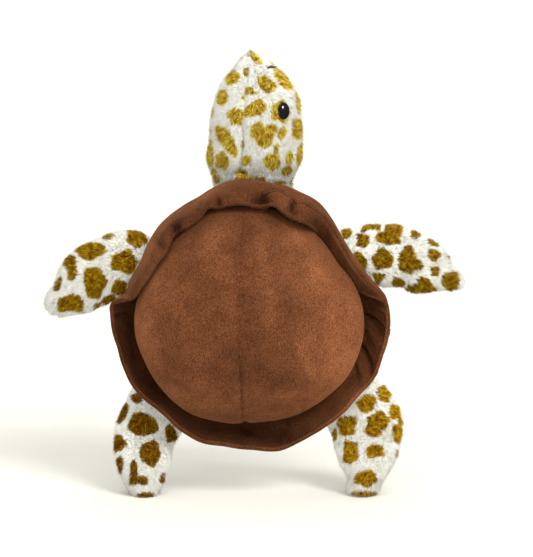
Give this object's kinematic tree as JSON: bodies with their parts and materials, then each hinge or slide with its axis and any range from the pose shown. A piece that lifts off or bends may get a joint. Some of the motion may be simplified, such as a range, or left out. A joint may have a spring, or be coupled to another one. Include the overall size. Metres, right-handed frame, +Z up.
{
  "type": "plush turtle",
  "caption": "Stuffed sea turtle standing on its rear flippers, with a velour dome shell, a floppy folded rim and spotted plush head and flippers.",
  "frame": {"origin": "on the floor under the middle of the standing toy's box", "axes": "+Z up along the standing body to the nose; -Y out of the shell's dome; +X towards the turtle's own right side"},
  "size_m": [0.3226, 0.1264, 0.3474],
  "materials": {
    "brown_velour": "matte",
    "spotted_plush": "matte",
    "belly_plush": "matte",
    "fibre_filling": "matte",
    "glossy_eye": "gloss",
    "washer_plastic": "satin",
    "nostril_thread": "matte"
  },
  "bodies": {
    "shell": {"carapace_cover_left": "brown_velour", "carapace_cover_right": "brown_velour", "belly_cover": "belly_plush", "body_stuffing": "fibre_filling", "rim_face_left": "brown_velour", "rim_face_right": "brown_velour", "rim_back_left": "brown_velour", "rim_back_right": "brown_velour"},
    "front_flipper_left": {"front_flipper_left_top": "spotted_plush", "front_flipper_left_underside": "spotted_plush", "front_flipper_left_stuffing": "fibre_filling"},
    "front_flipper_right": {"front_flipper_right_top": "spotted_plush", "front_flipper_right_underside": "spotted_plush", "front_flipper_right_stuffing": "fibre_filling"},
    "rear_flipper_left": {"rear_flipper_left_top": "spotted_plush", "rear_flipper_left_underside": "spotted_plush", "rear_flipper_left_stuffing": "fibre_filling"},
    "rear_flipper_right": {"rear_flipper_right_top": "spotted_plush", "rear_flipper_right_underside": "spotted_plush", "rear_flipper_right_stuffing": "fibre_filling"},
    "neck": {"neck_cover": "spotted_plush", "neck_stuffing": "fibre_filling"},
    "head": {"head_cover_left": "spotted_plush", "head_cover_right": "spotted_plush", "head_stuffing": "fibre_filling", "eye_left": "glossy_eye", "eye_right": "glossy_eye", "eye_washer_left": "washer_plastic", "eye_washer_right": "washer_plastic", "nostril_stitch_left": "nostril_thread", "nostril_stitch_right": "nostril_thread"}
  },
  "joints": [
    {"name": "front_flipper_left_flap", "type": "hinge", "parent": "shell", "child": "front_flipper_left", "pos_m": [-0.08052, 0.02883, 0.18259], "axis": [-0.454, 0, -0.891], "range_deg": [-8, 60], "stiffness_Nm_per_rad": 0.12},
    {"name": "front_flipper_right_flap", "type": "hinge", "parent": "shell", "child": "front_flipper_right", "pos_m": [0.06607, 0.02883, 0.18706], "axis": [-0.5299, 0, 0.848], "range_deg": [-8, 60], "stiffness_Nm_per_rad": 0.12},
    {"name": "rear_flipper_left_flap", "type": "hinge", "parent": "shell", "child": "rear_flipper_left", "pos_m": [-0.06366, 0.02883, 0.0745], "axis": [0.7547, 0, -0.6561], "range_deg": [-8, 45], "stiffness_Nm_per_rad": 3},
    {"name": "rear_flipper_right_flap", "type": "hinge", "parent": "shell", "child": "rear_flipper_right", "pos_m": [0.05674, 0.02883, 0.07391], "axis": [0.7547, 0, 0.6561], "range_deg": [-8, 45], "stiffness_Nm_per_rad": 3},
    {"name": "neck_nod", "type": "hinge", "parent": "shell", "child": "neck", "pos_m": [-0.00072, 0.03683, 0.23992], "axis": [-1, 0, 0], "range_deg": [-3, 35], "stiffness_Nm_per_rad": 0.5},
    {"name": "head_turn", "type": "hinge", "parent": "neck", "child": "head", "pos_m": [-0.00072, 0.03683, 0.25342], "axis": [0, 0, 1], "range_deg": [-25, 65], "stiffness_Nm_per_rad": 0.15}
  ]
}
